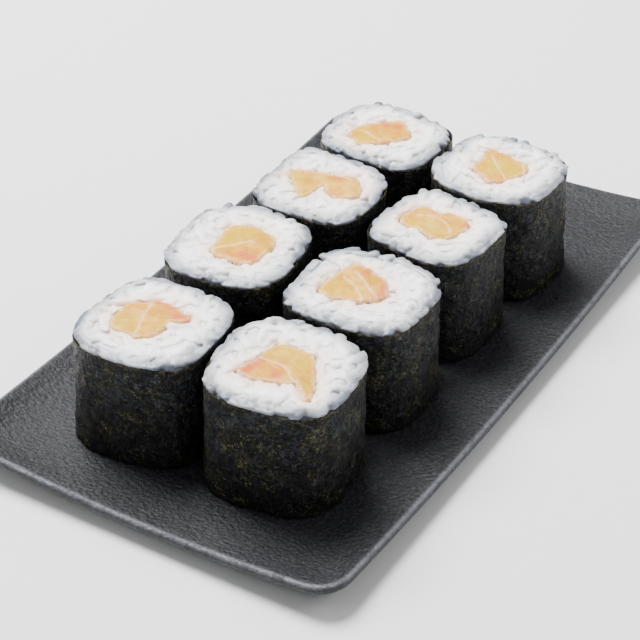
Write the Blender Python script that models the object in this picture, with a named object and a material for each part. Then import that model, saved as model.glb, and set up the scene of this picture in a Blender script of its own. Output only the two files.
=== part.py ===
"""Eight cut maki sushi rolls standing in two rows on their stoneware tray.

Every roll is a rounded-square wrap of nori round a ring of rice, with a strip of
fish running through the middle. The tray is a shallow rectangle with a rounded rim
and corners that curl up. +X runs across the tray, +Y along it, +Z up. The origin is
the middle of the flat foot that the tray rests on. Drawing units are millimetres.
"""
import math

import bmesh
import bpy

MM = 0.001

# ---- driving dimensions, millimetres -------------------------------------------
TRAY_WIDTH = 90.5
TRAY_LENGTH = 155.5
TRAY_CORNER = 6.5          # plan radius of a corner
TRAY_BOW = 0.4             # how far the middle of a side bulges outwards
TRAY_FLOOR = 4.0           # height of the flat bed that the rolls stand on
CORNER_LIFT = 2.6          # how far the corners curl up
CORNER_REACH = 2.2         # larger keeps the curl closer to the corners
ROWS_AT = (1.4, -0.3)      # middle of the two rows of rolls on the tray
ROWS_TURN = -1.8           # degrees that the rows are out of line with the tray

ROLL_HEIGHT = 25.0         # length of one cut of the roll
NORI = 0.6                 # wrapped sheet, a little over one turn
LAP = 0.3                  # extra thickness where the sheet's end laps over
LAP_SPAN = 50.0            # degrees of wall that the lap covers
WAIST = 0.45               # share of the height at which the wall starts to lean out
WAIST_LEAN = 0.4           # share of the lean that it has there
RIM_WAVE = 0.25            # unevenness of the cut edge of the nori
RICE_CROWN = 0.7           # rice stands this far above the nori half way in
RICE_WAVE = 0.3            # unevenness of the cut rice
FISH_TAPER = 0.95          # lower end of the fish strip against its cut face
FISH_TURN = 6.0            # degrees that the strip turns on its way down
GAP = 0.3                  # clearance between pieces that touch

WALL_POINTS = 38           # corners of a roll's outline
SIDE_POINTS = 8            # corners along a side of the tray
ARC_POINTS = 6             # corners round a corner of the tray

# Tray section from the foot, round the rim, to the bed: inset from the outer edge,
# height, and how much of the corner lift that ring takes.
TRAY_SECTION = (
    (9.5, 0.0, 0.0),
    (7.5, 0.7, 0.1),
    (2.4, 1.9, 0.85),
    (0.7, 2.7, 1.0),
    (0.0, 3.7, 1.0),
    (0.25, 4.5, 1.0),
    (0.9, 4.9, 1.0),
    (2.2, 4.8, 0.9),
    (5.5, 4.3, 0.5),
    (9.5, 4.05, 0.15),
    (13.5, TRAY_FLOOR, 0.0),
)

# One row for each roll. at: middle on the tray. half: half width and half length.
# square: superellipse power of the outline. lean: turn of the outline in degrees.
# dents: direction in degrees and height of a corner or a dent in the outline.
# foot: how far the standing end leans out in X and Y, and how much wider it is.
# lap: direction of the sheet's free end. heart: middle of the fish. slabs: the fish
# as overlapping blocks, each with its middle, its half sizes and its turn.
ROLLS = {
    "left_1": dict(
        at=(-13.4, -49.4), half=(14.4, 14.4), square=3.2, lean=4,
        dents=((-56, -0.9), (168, -0.8)), foot=(-0.9, -0.2, 0.4), lap=40, heart=(-2.5, 0.5),
        slabs=((0.5, 5.0, 5.5, 1.8, -8), (-2.5, -0.5, 5.7, 5.7, 3))),
    "left_2": dict(
        at=(-15.2, -17.6), half=(14.0, 14.7), square=3.2, lean=9,
        dents=((109, 1.0), (61, 0.4)), foot=(-0.2, 0.0, 0.2), lap=-20, heart=(0.5, 0.5),
        slabs=((1.0, 0.5, 6.1, 6.6, 5), (-1.0, 3.5, 4.5, 4.0, 28))),
    "left_3": dict(
        at=(-12.9, 11.3), half=(13.4, 13.3), square=4.0, lean=1,
        dents=((47, -1.6), (137, 1.9)), foot=(0.0, 0.0, 0.2), lap=60, heart=(0.0, 3.2),
        slabs=((4.0, 2.0, 4.8, 4.2, -47), (-4.0, -2.5, 1.8, 4.8, 37), (-2.5, 2.0, 7.0, 2.8, 16))),
    "left_4": dict(
        at=(-12.8, 37.8), half=(14.0, 12.7), square=3.4, lean=1,
        dents=((-44, 1.0), (61, -1.1)), foot=(0.0, 0.0, 0.2), lap=15, heart=(-1.5, 0.0),
        slabs=((-1.5, -0.5, 7.2, 4.7, 49),)),
    "right_1": dict(
        at=(16.5, -46.8), half=(14.9, 14.8), square=3.1, lean=8,
        dents=((58, -1.0), (-100, 0.3)), foot=(-0.7, 0.0, 0.3), lap=150, heart=(2.0, 1.0),
        slabs=((-1.0, 1.0, 5.4, 5.0, 0), (-1.5, -4.0, 6.2, 2.7, 18), (5.5, -1.0, 7.8, 1.8, -58))),
    "right_2": dict(
        at=(15.6, -17.2), half=(14.4, 14.0), square=2.9, lean=8,
        dents=((-136, 1.5), (23, 0.8)), foot=(0.2, 0.0, 0.2), lap=100, heart=(-3.0, 0.5),
        slabs=((-4.5, 0.5, 3.8, 6.9, -6), (-0.5, 0.5, 5.0, 5.2, -46))),
    "right_3": dict(
        at=(16.4, 10.8), half=(13.1, 12.5), square=4.2, lean=-6,
        dents=((19, -0.9), (-51, -1.1)), foot=(0.3, 0.0, 0.3), lap=165, heart=(-0.5, 1.5),
        slabs=((1.0, 1.0, 4.4, 5.4, -17), (-5.0, 1.0, 4.7, 3.6, 80))),
    "right_4": dict(
        at=(15.7, 38.9), half=(14.3, 13.4), square=3.0, lean=1,
        dents=((-82, 0.8), (174, -1.0)), foot=(0.6, 0.0, 0.4), lap=110, heart=(-0.5, 0.0),
        slabs=((0.0, 2.8, 6.4, 2.8, -15), (0.0, -1.0, 5.2, 4.9, -32))),
}
DENT_WIDTH = 17.0          # degrees over which a dent fades
SLAB_SQUARE = 3.2          # superellipse power of a fish block
REACH_STEP = 0.2           # step of the search for a block's far side
REACH_STEPS = 80


# ---- shared helpers --------------------------------------------------------------
def clear_scene():
    """Start from an empty scene."""
    for obj in list(bpy.data.objects):
        bpy.data.objects.remove(obj, do_unlink=True)


def finish(name, color, roughness):
    """A Principled material."""
    mat = bpy.data.materials.new(name)
    mat.use_nodes = True
    shader = mat.node_tree.nodes["Principled BSDF"]
    shader.inputs["Base Color"].default_value = (*color, 1.0)
    shader.inputs["Roughness"].default_value = roughness
    shader.inputs["Metallic"].default_value = 0.0
    return mat


def loft(name, loops, hollow, mat, parent):
    """Join loops of points, in millimetres, into one closed body.

    A hollow body's last loop closes back onto its first. Any other body gets a flat
    cap on its first and last loop. Each wall panel is split along the diagonal that
    rises with the loop's direction, so walls that face each other across a gap are
    split the same way.
    """
    bm = bmesh.new()
    rings = [[bm.verts.new([c * MM for c in point]) for point in loop] for loop in loops]
    pairs = list(zip(rings, rings[1:]))
    if hollow:
        pairs.append((rings[-1], rings[0]))
    for first, second in pairs:
        rising = second[0].co.z >= first[0].co.z
        low, high = (first, second) if rising else (second, first)
        for i in range(len(low)):
            j = (i + 1) % len(low)
            bm.faces.new((low[i], low[j], high[j]))
            bm.faces.new((low[i], high[j], high[i]))
    if not hollow:
        bm.faces.new(list(reversed(rings[0])))
        bm.faces.new(rings[-1])
    bmesh.ops.recalc_face_normals(bm, faces=bm.faces)
    mesh = bpy.data.meshes.new(name)
    bm.to_mesh(mesh)
    bm.free()
    mesh.shade_smooth()
    mesh.set_sharp_from_angle(angle=math.radians(35))
    obj = bpy.data.objects.new(name, mesh)
    obj.data.materials.append(mat)
    obj.parent = parent
    bpy.context.collection.objects.link(obj)
    return obj


def empty(name, location, parent=None):
    """A named point that pieces hang on."""
    point = bpy.data.objects.new(name, None)
    point.location = [c * MM for c in location]
    point.parent = parent
    bpy.context.collection.objects.link(point)
    return point


def superellipse(angle, half_x, half_y, power):
    """Distance from the middle of a rounded square to its edge."""
    across = abs(math.cos(angle)) / half_x
    along = abs(math.sin(angle)) / half_y
    return (across ** power + along ** power) ** (-1.0 / power)


def turn_between(angle, other):
    """Signed difference of two directions in degrees, -180 to 180."""
    return (angle - other + 180.0) % 360.0 - 180.0


# ---- tray ------------------------------------------------------------------------
def tray_loop(inset, height, lift):
    """One closed ring of the tray at an inset from its outer edge."""
    half_x = TRAY_WIDTH / 2 - TRAY_BOW - inset
    half_y = TRAY_LENGTH / 2 - TRAY_BOW - inset
    radius = max(TRAY_CORNER - inset, TRAY_CORNER / 3)
    arcs = []
    for quarter in range(4):
        sign_x = 1 if quarter in (0, 3) else -1
        sign_y = 1 if quarter in (0, 1) else -1
        arc = []
        for k in range(ARC_POINTS + 1):
            angle = math.radians(90.0 * (quarter + k / ARC_POINTS))
            x = sign_x * (half_x - radius) + radius * math.cos(angle)
            y = sign_y * (half_y - radius) + radius * math.sin(angle)
            arc.append((x, y))
        arcs.append(arc)
    flat = []
    for arc, following in zip(arcs, arcs[1:] + arcs[:1]):
        flat += arc
        for k in range(1, SIDE_POINTS):
            share = k / SIDE_POINTS
            flat.append(tuple(p + (q - p) * share for p, q in zip(arc[-1], following[0])))
    ring = []
    for x, y in flat:
        x += TRAY_BOW * (x / half_x) * (1 - (y / half_y) ** 2)
        y += TRAY_BOW * (y / half_y) * (1 - min(1.0, (x / half_x) ** 2))
        curl = abs(x / (TRAY_WIDTH / 2)) ** CORNER_REACH * abs(y / (TRAY_LENGTH / 2)) ** CORNER_REACH
        ring.append((x, y, height + CORNER_LIFT * lift * curl))
    return ring


def make_tray(mat, parent):
    """The stoneware tray, one closed body."""
    loops = [tray_loop(*ring) for ring in TRAY_SECTION]
    return loft("plate", loops, False, mat, parent)


# ---- rolls -----------------------------------------------------------------------
def wall_angles(roll):
    """Directions of a roll's outline in degrees, with a close pair at the lap's end."""
    start = roll["lap"] + 0.6
    step = 360.0 / (WALL_POINTS - 1)
    spread = [start + step * k for k in range(WALL_POINTS - 1)]
    return spread + [roll["lap"] + 360.0 - 0.6]


def wall_radius(roll, angle):
    """Distance from a roll's middle to the outside of its nori, without the lap."""
    radius = superellipse(math.radians(angle - roll["lean"]), *roll["half"], roll["square"])
    for direction, height in roll["dents"]:
        radius += height * math.exp(-(turn_between(angle, direction) / DENT_WIDTH) ** 2)
    return radius


def lap_height(roll, angle):
    """Extra thickness of the lap: full at the sheet's free end, then fading."""
    past = (angle - roll["lap"]) % 360.0
    return LAP * max(0.0, 1.0 - past / LAP_SPAN)


def around(roll, inset, height_of, settle=0.0, lap=False):
    """A closed loop along a roll's wall at an inset from the outside of its nori.

    settle is the share of the foot's lean and width that this loop takes.
    """
    lean_x, lean_y, flare = (settle * size for size in roll["foot"])
    loop = []
    for angle in wall_angles(roll):
        radius = wall_radius(roll, angle) - LAP - inset + flare
        if lap:
            radius += lap_height(roll, angle)
        a = math.radians(angle)
        loop.append((lean_x + radius * math.cos(a), lean_y + radius * math.sin(a), height_of(angle)))
    return loop


def rim_height(roll, angle):
    """Height of the cut edge of the nori."""
    a = math.radians(angle)
    return ROLL_HEIGHT + RIM_WAVE * math.sin(2 * a + roll["lap"]) * math.cos(a + roll["lean"])


def foot(angle):
    """Height of the standing end."""
    return 0.0


def waist(angle):
    """Height below which the wall leans out to its foot."""
    return ROLL_HEIGHT * WAIST


def inside_slab(x, y, slab):
    """Whether a point lies in one block of the fish."""
    mid_x, mid_y, half_x, half_y, turn = slab
    a = math.radians(turn)
    along = (x - mid_x) * math.cos(a) + (y - mid_y) * math.sin(a)
    across = (y - mid_y) * math.cos(a) - (x - mid_x) * math.sin(a)
    return abs(along / half_x) ** SLAB_SQUARE + abs(across / half_y) ** SLAB_SQUARE <= 1.0


def fish_radius(roll, angle):
    """Distance from the heart of the fish to the far side of its blocks."""
    a = math.radians(angle)
    heart_x, heart_y = roll["heart"]

    def covered(radius):
        x = heart_x + radius * math.cos(a)
        y = heart_y + radius * math.sin(a)
        return any(inside_slab(x, y, slab) for slab in roll["slabs"])

    near = max(k * REACH_STEP for k in range(REACH_STEPS) if k == 0 or covered(k * REACH_STEP))
    far = near + REACH_STEP
    for _ in range(6):
        middle = (near + far) / 2
        if covered(middle):
            near = middle
        else:
            far = middle
    return near


def fish_loop(roll, margin, height, standing=False):
    """A closed loop round the fish, grown by a margin, at its cut face or its foot."""
    middle_x, middle_y = roll["heart"]
    scale, turn = 1.0, 0.0
    if standing:
        middle_x += roll["foot"][0]
        middle_y += roll["foot"][1]
        scale, turn = FISH_TAPER, FISH_TURN
    loop = []
    for angle in wall_angles(roll):
        radius = fish_radius(roll, angle) * scale + margin
        a = math.radians(angle + turn)
        loop.append((middle_x + radius * math.cos(a), middle_y + radius * math.sin(a), height))
    return loop


def blend(loop, other, share, height_of):
    """A loop part of the way from one loop to another."""
    mixed = []
    for (x0, y0, _), (x1, y1, _) in zip(loop, other):
        x = x0 + (x1 - x0) * share
        y = y0 + (y1 - y0) * share
        mixed.append((x, y, height_of(math.degrees(math.atan2(y, x)))))
    return mixed


def make_nori(name, roll, mat, parent):
    """The wrapped sheet: a thin wall with a lapped end and an uneven cut edge."""
    def rim(angle):
        return rim_height(roll, angle)

    loops = [
        around(roll, 0.0, foot, 1.0, lap=True),
        around(roll, 0.0, waist, WAIST_LEAN, lap=True),
        around(roll, 0.0, rim, lap=True),
        around(roll, NORI, rim),
        around(roll, NORI, waist, WAIST_LEAN),
        around(roll, NORI, foot, 1.0),
    ]
    return loft("nori_" + name, loops, True, mat, parent)


def make_rice(name, roll, mat, parent):
    """The rice: a thick ring with an uneven, slightly raised cut face."""
    inset = NORI + GAP

    def edge(angle):
        return rim_height(roll, angle) + 0.1

    def crown(angle):
        a = math.radians(angle)
        return ROLL_HEIGHT + RICE_CROWN + RICE_WAVE * math.sin(3 * a + roll["lap"])

    outer_top = around(roll, inset, edge)
    hole_top = fish_loop(roll, GAP, ROLL_HEIGHT + 0.3)
    hole_foot = fish_loop(roll, GAP, 0.0, standing=True)
    loops = [
        around(roll, inset, foot, 1.0),
        around(roll, inset, waist, WAIST_LEAN),
        outer_top,
        blend(outer_top, hole_top, 0.25, crown),
        hole_top,
        hole_foot,
    ]
    return loft("rice_" + name, loops, True, mat, parent)


def make_fish(name, roll, mat, parent):
    """The strip of fish, from the standing end to the cut face."""
    loops = [
        fish_loop(roll, 0.0, 0.0, standing=True),
        fish_loop(roll, 0.0, ROLL_HEIGHT + 0.4),
    ]
    return loft("fish_" + name, loops, False, mat, parent)


def main():
    clear_scene()
    stoneware = finish("charcoal_stoneware", (0.055, 0.056, 0.062), 0.5)
    nori = finish("nori", (0.012, 0.014, 0.013), 0.45)
    rice = finish("rice", (0.80, 0.80, 0.79), 0.4)
    fish = finish("fish", (0.80, 0.53, 0.30), 0.3)
    serving = empty("serving", (0.0, 0.0, 0.0))
    make_tray(stoneware, serving)
    rows = empty("rows", (*ROWS_AT, TRAY_FLOOR + GAP), serving)
    rows.rotation_euler.z = math.radians(ROWS_TURN)
    for name, roll in ROLLS.items():
        spot = empty("roll_" + name, (*roll["at"], 0.0), rows)
        make_nori(name, roll, nori, spot)
        make_rice(name, roll, rice, spot)
        make_fish(name, roll, fish, spot)
    bpy.context.view_layer.update()


main()
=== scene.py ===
# %% [markdown]
# # Eight maki rolls on a stoneware tray
# The construction model gives every roll a wrap of nori, a ring of rice and a strip of
# fish, and it gives the tray. This lesson keeps their places and sizes, and makes what
# the eye needs: single grains of rice, the sheen of dried seaweed, the fibres of raw
# fish, and pebbled stoneware. The first cell loads the frame and remembers its box.

# %% Load the frame
import math

import bmesh
import bpy
import numpy as np
from mathutils import Euler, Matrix, Vector, geometry, noise
from mathutils.bvhtree import BVHTree
from mathutils.kdtree import KDTree


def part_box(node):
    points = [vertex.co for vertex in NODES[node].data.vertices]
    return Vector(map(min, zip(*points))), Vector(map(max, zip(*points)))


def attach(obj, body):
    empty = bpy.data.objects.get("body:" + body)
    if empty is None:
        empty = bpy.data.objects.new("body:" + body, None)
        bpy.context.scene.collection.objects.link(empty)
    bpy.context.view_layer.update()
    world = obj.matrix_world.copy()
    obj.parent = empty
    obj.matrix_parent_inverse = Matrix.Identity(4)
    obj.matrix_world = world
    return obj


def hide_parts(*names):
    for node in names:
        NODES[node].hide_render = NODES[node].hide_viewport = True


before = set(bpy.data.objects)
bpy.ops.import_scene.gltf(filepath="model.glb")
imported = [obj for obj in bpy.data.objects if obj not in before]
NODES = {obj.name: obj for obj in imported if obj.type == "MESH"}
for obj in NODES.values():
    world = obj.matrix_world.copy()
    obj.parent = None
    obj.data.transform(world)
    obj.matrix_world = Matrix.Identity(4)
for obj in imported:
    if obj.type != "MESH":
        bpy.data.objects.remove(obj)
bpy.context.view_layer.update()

MM = 0.001
ROLLS = sorted(name[len("nori_"):] for name in NODES if name.startswith("nori_"))
TRAY_LOW, TRAY_HIGH = (np.array(corner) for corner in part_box("plate"))
print("rolls:", ROLLS, "tray in mm:", ((TRAY_HIGH - TRAY_LOW) / MM).round(1))

# %% [markdown]
# ## Camera
# A long lens from well above the near right corner keeps the rolls' walls almost
# parallel. It is set by the point it looks at, a compass angle, a height angle and a
# distance, and not by raw coordinates, because each of those changes one visible thing.

# %% Camera
LENS = 112.5  # millimetres, on the usual 36 mm wide sensor
AIM = Vector((14.1, -31.4, 29.3)) * MM
AZIMUTH, ELEVATION = 31.2, 35.8  # degrees
DISTANCE = 394.8 * MM


def look_from(name, data, azimuth, elevation, distance, target=Vector((0, 0, 0))):
    """A camera or lamp that looks at a point from two angles in degrees and a distance."""
    a, e = math.radians(azimuth), math.radians(elevation)
    away = Vector((math.sin(a) * math.cos(e), -math.cos(a) * math.cos(e), math.sin(e)))
    made = bpy.data.objects.new(name, data)
    made.location = target + away * distance
    made.rotation_euler = away.to_track_quat("Z", "Y").to_euler()
    bpy.context.collection.objects.link(made)
    return made


camera_data = bpy.data.cameras.new("camera")
camera_data.lens = LENS
camera_data.sensor_width = 36.0
camera_data.clip_start = 0.01
camera = look_from("camera", camera_data, AZIMUTH, ELEVATION, DISTANCE, AIM)
bpy.context.scene.camera = camera
print("camera at, in mm:", (camera.location / MM).to_tuple(1))

# %% [markdown]
# ## Shader maths as Python
# A material is a graph of nodes, and long graphs are hard to read as node by node code.
# The class below wraps one output socket. Its operators add Math nodes, so a mask can be
# written as `1 - dust * 0.5`. Its `node` method adds any other node.

# %% A socket that understands arithmetic
class Wire:
    """One output socket of a material's graph, or a bare graph to start from."""

    def __init__(self, tree, socket=None):
        self.tree = tree
        self.socket = socket

    def node(self, kind, settings=None, inputs=None, output=0):
        """Add a node: settings first, then values or links, and wrap one of its outputs."""
        made = self.tree.nodes.new(kind)
        for key, value in (settings or {}).items():
            setattr(made, key, value)
        for key, value in (inputs or {}).items():
            if isinstance(value, Wire):
                self.tree.links.new(value.socket, made.inputs[key])
            else:
                made.inputs[key].default_value = value
        return Wire(self.tree, made.outputs[output])

    def math(self, operation, *values):
        inputs = dict(enumerate((self,) + values))
        return self.node("ShaderNodeMath", {"operation": operation}, inputs)

    def __add__(self, other):
        return self.math("ADD", other)

    def __sub__(self, other):
        return self.math("SUBTRACT", other)

    def __rsub__(self, other):
        return self.node("ShaderNodeMath", {"operation": "SUBTRACT"}, {0: other, 1: self})

    def __mul__(self, other):
        return self.math("MULTIPLY", other)

    def __pow__(self, other):
        return self.math("POWER", other)

    __radd__ = __add__
    __rmul__ = __mul__

    def step(self, low, high):
        """0 below low, 1 above high and a smooth rise between them."""
        inputs = {"Value": self, "From Min": low, "From Max": high}
        return self.node("ShaderNodeMapRange", {"interpolation_type": "SMOOTHSTEP"}, inputs)

    def tint(self, low, high):
        """A colour between low and high by this value from 0 to 1."""
        settings = {"data_type": "RGBA", "clamp_factor": True}
        ends = {6: _colour(low), 7: _colour(high)}
        return self.node("ShaderNodeMix", settings, {0: self, **ends}, output=2)


def _colour(value):
    """A colour as the four numbers that a socket takes; a wire passes unchanged."""
    return value if isinstance(value, Wire) else (*value, 1.0)


print("a wire can:", [name for name in vars(Wire) if not name.startswith("_")])

# %% [markdown]
# Every finish starts with a Principled shader and with noises that read the object's own
# coordinates, which stay put when the camera moves. All pieces keep their origin at the
# world's middle, so a scale is simply one over a size in metres.

# %% Start a material, and the textures that most of them use
def new_finish(name, settings):
    """A material with a Principled shader, its graph and its shader node.

    What is the same all over goes straight onto the shader's sockets.
    """
    material = bpy.data.materials.new(name)
    material.use_nodes = True
    tree = material.node_tree
    shader = tree.nodes["Principled BSDF"]
    for key, value in settings.items():
        shader.inputs[key].default_value = value
    return material, Wire(tree), shader


def join(graph, shader, **sockets):
    """Link wires to the shader's sockets; an underscore stands for a space."""
    for key, wire in sockets.items():
        graph.tree.links.new(wire.socket, shader.inputs[key.replace("_", " ")])


def place(graph, stretch=(1.0, 1.0, 1.0)):
    """Object coordinates, squeezed by stretch so that a texture runs longer one way."""
    coordinates = graph.node("ShaderNodeTexCoord", output=3)
    return coordinates.node("ShaderNodeMapping", {}, {"Vector": coordinates, "Scale": stretch})


def speckle(vector, size, detail=3.0, rough=0.55, bend=0.0):
    """Noise from 0 to 1 with lumps about size metres across."""
    inputs = {"Vector": vector, "Scale": 1 / size, "Detail": detail,
              "Roughness": rough, "Distortion": bend}
    return vector.node("ShaderNodeTexNoise", {}, inputs)


def attribute(graph, name):
    """A number that the mesh carries on its points."""
    return graph.node("ShaderNodeAttribute", {"attribute_name": name}, output=2)


def bumps(height, distance, strength=1.0):
    """A normal that is tilted by a height, whose full range is distance metres."""
    inputs = {"Height": height, "Distance": distance, "Strength": strength}
    return height.node("ShaderNodeBump", {}, inputs)


print("lumps of 1 mm need a texture scale of", round(1 / MM))

# %% [markdown]
# ## Outlines from the construction model
# Each new piece has to fill the same space as the solid that it stands for. So its
# outline isn't typed in again: `bisect_plane` passes a level plane through the solid, and
# the cut edges are chained into closed loops. These are resampled evenly and rounded a
# little, because the solid is faceted.

# %% Slice a solid into loops
SAME_PLACE = 1e-6  # metres: points nearer than this are one point


def slice_loops(node, height):
    """Closed outlines where a level plane cuts a node, longest first, anticlockwise."""
    bm = bmesh.new()
    bm.from_mesh(NODES[node].data)
    bmesh.ops.remove_doubles(bm, verts=bm.verts, dist=SAME_PLACE)
    cut = bmesh.ops.bisect_plane(bm, geom=bm.verts[:] + bm.edges[:] + bm.faces[:],
                                 plane_co=(0, 0, height), plane_no=(0, 0, 1))
    partners = {}
    for item in cut["geom_cut"]:
        if isinstance(item, bmesh.types.BMEdge):
            first, second = item.verts
            partners.setdefault(first, []).append(second)
            partners.setdefault(second, []).append(first)
    loops = []
    while partners:
        here = next(iter(partners))
        loop = []
        while here in partners:
            loop.append(here.co.xy[:])
            onward = [v for v in partners.pop(here) if v in partners]
            here = onward[0] if onward else None
        loops.append(anticlockwise(np.array(loop)))
    bm.free()
    return sorted(loops, key=loop_length, reverse=True)


def unit(vectors):
    return vectors / np.linalg.norm(vectors, axis=1, keepdims=True)


def loop_length(loop):
    return np.linalg.norm(np.roll(loop, -1, 0) - loop, axis=1).sum()


def anticlockwise(loop):
    x, y = loop.T
    area = (x * np.roll(y, -1) - y * np.roll(x, -1)).sum()
    return loop if area > 0 else loop[::-1]


def soften(values, reach):
    """Round a closed row of values with a bell of that reach, in samples."""
    offsets = np.arange(-3 * reach, 3 * reach + 1)
    weights = np.exp(-(offsets / reach) ** 2)
    return sum(w * np.roll(values, -o, 0) for w, o in zip(weights, offsets)) / weights.sum()


def even_loop(loop, count, reach=2):
    """The loop with evenly spaced points, its corners softened."""
    lengths = np.linalg.norm(np.roll(loop, -1, 0) - loop, axis=1)
    travelled = np.concatenate([[0.0], np.cumsum(lengths)])
    closed = np.vstack([loop, loop[:1]])
    stations = np.linspace(0.0, travelled[-1], count, endpoint=False)
    points = np.stack([np.interp(stations, travelled, closed[:, k]) for k in (0, 1)], axis=1)
    return soften(points, reach)


sheet = slice_loops("nori_" + ROLLS[0], 15 * MM)
print("nori of", ROLLS[0], "half way up, mm round:", [round(loop_length(loop) / MM, 1) for loop in sheet])

# %% [markdown]
# Rice has to stay inside the nori and off the fish, and fish has to round off towards
# its own edge. Both need to know how far a point is from a loop, and on which side. The
# next helper works that out for all the points at once, much faster than one by one.

# %% Distance of many points to a loop
def to_loop(points, loop):
    """Signed distance (negative inside) and nearest place on a loop, for each point."""
    run = np.roll(loop, -1, 0) - loop
    best = np.full(len(points), np.inf)
    nearest = np.zeros((len(points), 2))
    inside = np.zeros(len(points), bool)
    for (x, y), (dx, dy) in zip(loop, run):
        rel_x, rel_y = points[:, 0] - x, points[:, 1] - y
        share = np.clip((rel_x * dx + rel_y * dy) / max(dx * dx + dy * dy, 1e-18), 0, 1)
        gap = np.hypot(rel_x - share * dx, rel_y - share * dy)
        closer = gap < best
        best[closer] = gap[closer]
        nearest[closer] = np.stack([x + share * dx, y + share * dy], axis=1)[closer]
        crosses = (rel_y < 0) != (rel_y < dy)
        with np.errstate(divide="ignore", invalid="ignore"):
            inside ^= crosses & (rel_x < rel_y * dx / dy)
    return np.where(inside, -best, best), nearest


def near_edge(points, loop, reach):
    """1 on a loop and past it, falling to 0 at that reach inside it."""
    return np.clip(1 + to_loop(points, loop)[0] / reach, 0, 1)


walls = [even_loop(loop, 200) for loop in sheet]
print("sheet thickness in mm:", (to_loop(walls[1], walls[0])[0].mean() / -MM).round(2))

# %% [markdown]
# The new meshes are made from plain lists of points and faces. That needs no editing
# operators, and lets numbers be stored on the points for the finishes to read: how near
# the rim is, which grain this is, where a membrane runs.

# %% Noise in space, pieces, and grids of faces
def lumps(points, size, octaves=3, seed=0):
    """Fractal noise, about -1 to 1, with lumps about size metres across."""
    if points.shape[1] == 2:
        points = np.column_stack([points, np.zeros(len(points))])
    shift = Vector((seed * 3.7, seed * 1.9, seed * 5.3))
    return np.array([noise.fractal(Vector(p) / size + shift, 1.0, 2.0, octaves) for p in points])


def new_piece(name, points, faces, material, values=None):
    """A smooth mesh object with numbers on its points for its material to read."""
    mesh = bpy.data.meshes.new(name)
    mesh.from_pydata(np.asarray(points).tolist(), [], faces)
    for key, numbers in (values or {}).items():
        stored = mesh.attributes.new(key, "FLOAT", "POINT").data
        stored.foreach_set("value", np.asarray(numbers, np.float32))
    mesh.materials.append(material)
    mesh.shade_smooth()
    mesh.validate()
    piece = bpy.data.objects.new(name, mesh)
    bpy.context.collection.objects.link(piece)
    return piece


def grid_faces(rows, columns, first=0, closed=False):
    """Quads of a grid whose columns ring round; closed joins the last row to the first."""
    bands = np.arange(rows if closed else rows - 1)
    row, column = np.meshgrid(bands, np.arange(columns), indexing="ij")
    above, right = (row + 1) % rows, (column + 1) % columns
    corners = [(row, column), (row, right), (above, right), (above, column)]
    quads = np.stack([r * columns + c for r, c in corners], -1)
    return (first + quads).reshape(-1, 4).tolist()


print("quads in a ring of 3 rows and 8 columns:", len(grid_faces(3, 8)))

# %% [markdown]
# A cut face of rice is a ring round a strip with notches. A constrained Delaunay
# triangulation fills any such outline. It joins the loops' own points to a jittered grid
# of points between them, so the triangles are even and show no rows.

# %% Fill a flat outline
def fill(loops, spacing, seed):
    """Points and triangles that fill the first loop, leaving the other loops empty."""
    rng = np.random.default_rng(seed)
    low, high = loops[0].min(0), loops[0].max(0)
    xs = np.arange(low[0], high[0], spacing)
    ys = np.arange(low[1], high[1], spacing * 0.87)
    x, y = np.meshgrid(xs, ys)
    x[1::2] += spacing / 2
    dots = np.stack([x.ravel(), y.ravel()], axis=1)
    dots += rng.uniform(-0.18, 0.18, dots.shape) * spacing
    keep = to_loop(dots, loops[0])[0] < -spacing * 0.45
    for hole in loops[1:]:
        keep &= to_loop(dots, hole)[0] > spacing * 0.45
    edges, first = [], 0
    for loop in loops:
        edges += [(first + i, first + (i + 1) % len(loop)) for i in range(len(loop))]
        first += len(loop)
    flat = np.vstack(loops + [dots[keep]])
    outline = [list(range(len(loops[0])))]
    result = geometry.delaunay_2d_cdt([Vector(p) for p in flat], edges, outline, 1, SAME_PLACE / 10)
    points = np.array([v[:] for v in result[0]])
    triangles = np.array(result[2])
    middles = points[triangles].mean(1)
    for hole in loops[1:]:
        triangles = triangles[to_loop(middles, hole)[0] > 0]
        middles = points[triangles].mean(1)
    return points, triangles


flat, triangles = fill([walls[1]], 1.0 * MM, 0)
print("a roll's section at 1 mm spacing:", len(flat), "points,", len(triangles), "triangles")

# %% [markdown]
# Two small jobs come up for nori, rice and fish alike: reading outlines at several
# heights, so that their points run one above the other, and reading how high a solid's
# top is above a place in the plan. A ray cast down onto the solid answers the second.

# %% Stacks of outlines, and the height of a top
FOOT_CLEAR, TOP_CLEAR = 0.2 * MM, 1.3 * MM  # a solid's outline is whole between these


def aligned(loop, reference):
    """The loop, started at whichever of its points makes it follow reference best."""
    turned = [np.roll(loop, -start, 0) for start in range(len(loop))]
    misses = [np.square(candidate - reference).sum() for candidate in turned]
    return turned[int(np.argmin(misses))]


def outline_stack(node, which, heights, count, reach=2):
    """Loops of count points at each height: which is 0 for outer and 1 for inner."""
    stack = []
    for height in heights:
        loop = even_loop(slice_loops(node, height)[which], count, reach)
        stack.append(aligned(loop, stack[-1]) if stack else loop)
    return np.array(stack)


def at_heights(stack, heights, wanted):
    """The stack's loops read at other heights, one height for each point if needed."""
    place_in = np.interp(wanted, heights, np.arange(len(heights)))
    below = np.minimum(place_in.astype(int), len(heights) - 2)
    share = (place_in - below)[..., None]
    column = np.arange(stack.shape[1])
    return stack[below, column] * (1 - share) + stack[below + 1, column] * share


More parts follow.
